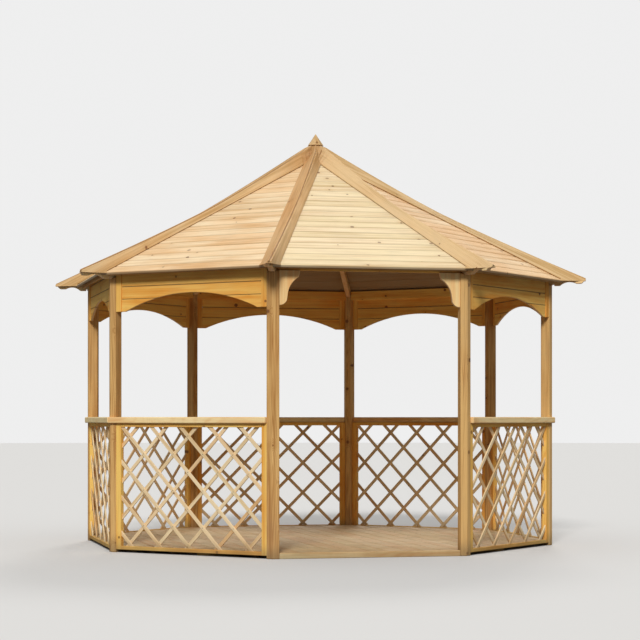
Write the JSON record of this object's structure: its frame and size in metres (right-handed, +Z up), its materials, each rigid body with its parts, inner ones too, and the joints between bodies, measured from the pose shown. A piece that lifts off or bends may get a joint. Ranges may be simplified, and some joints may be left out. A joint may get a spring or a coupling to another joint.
{
  "type": "garden gazebo",
  "caption": "Octagonal open timber garden gazebo with a boarded roof, arched valances, handrails over lattice panels, a deck and an open entrance.",
  "frame": {"origin": "on the ground at the middle of the floor", "axes": "+Z up, the open entrance faces -Y, +X to the right as seen from the entrance"},
  "size_m": [3.7978, 3.7978, 3.1078],
  "materials": {
    "post_wood": "satin",
    "frame_wood": "satin",
    "lattice_wood": "matte",
    "roof_wood": "matte",
    "cap_wood": "satin",
    "deck_wood": "matte"
  },
  "bodies": {
    "root": {"post_front_right": "post_wood", "post_right_front": "post_wood", "post_right_back": "post_wood", "post_back_right": "post_wood", "post_back_left": "post_wood", "post_left_back": "post_wood", "post_left_front": "post_wood", "post_front_left": "post_wood", "roof_panel_front": "roof_wood", "roof_panel_front_right": "roof_wood", "valance_front_right": "frame_wood", "lattice_front_right": "lattice_wood", "roof_panel_right": "roof_wood", "valance_right": "frame_wood", "lattice_right": "lattice_wood", "roof_panel_back_right": "roof_wood", "valance_back_right": "frame_wood", "lattice_back_right": "lattice_wood", "roof_panel_back": "roof_wood", "valance_back": "frame_wood", "lattice_back": "lattice_wood", "roof_panel_back_left": "roof_wood", "valance_back_left": "frame_wood", "lattice_back_left": "lattice_wood", "roof_panel_left": "roof_wood", "valance_left": "frame_wood", "lattice_left": "lattice_wood", "roof_panel_front_left": "roof_wood", "valance_front_left": "frame_wood", "lattice_front_left": "lattice_wood", "hip_rafters": "frame_wood", "top_plates": "frame_wood", "eave_boards": "roof_wood", "handrails": "frame_wood", "entrance_brackets": "frame_wood", "hip_caps": "cap_wood", "king_block": "frame_wood", "finial": "cap_wood", "deck_boards": "deck_wood", "deck_bearers": "deck_wood", "threshold_board": "frame_wood"}
  },
  "joints": []
}
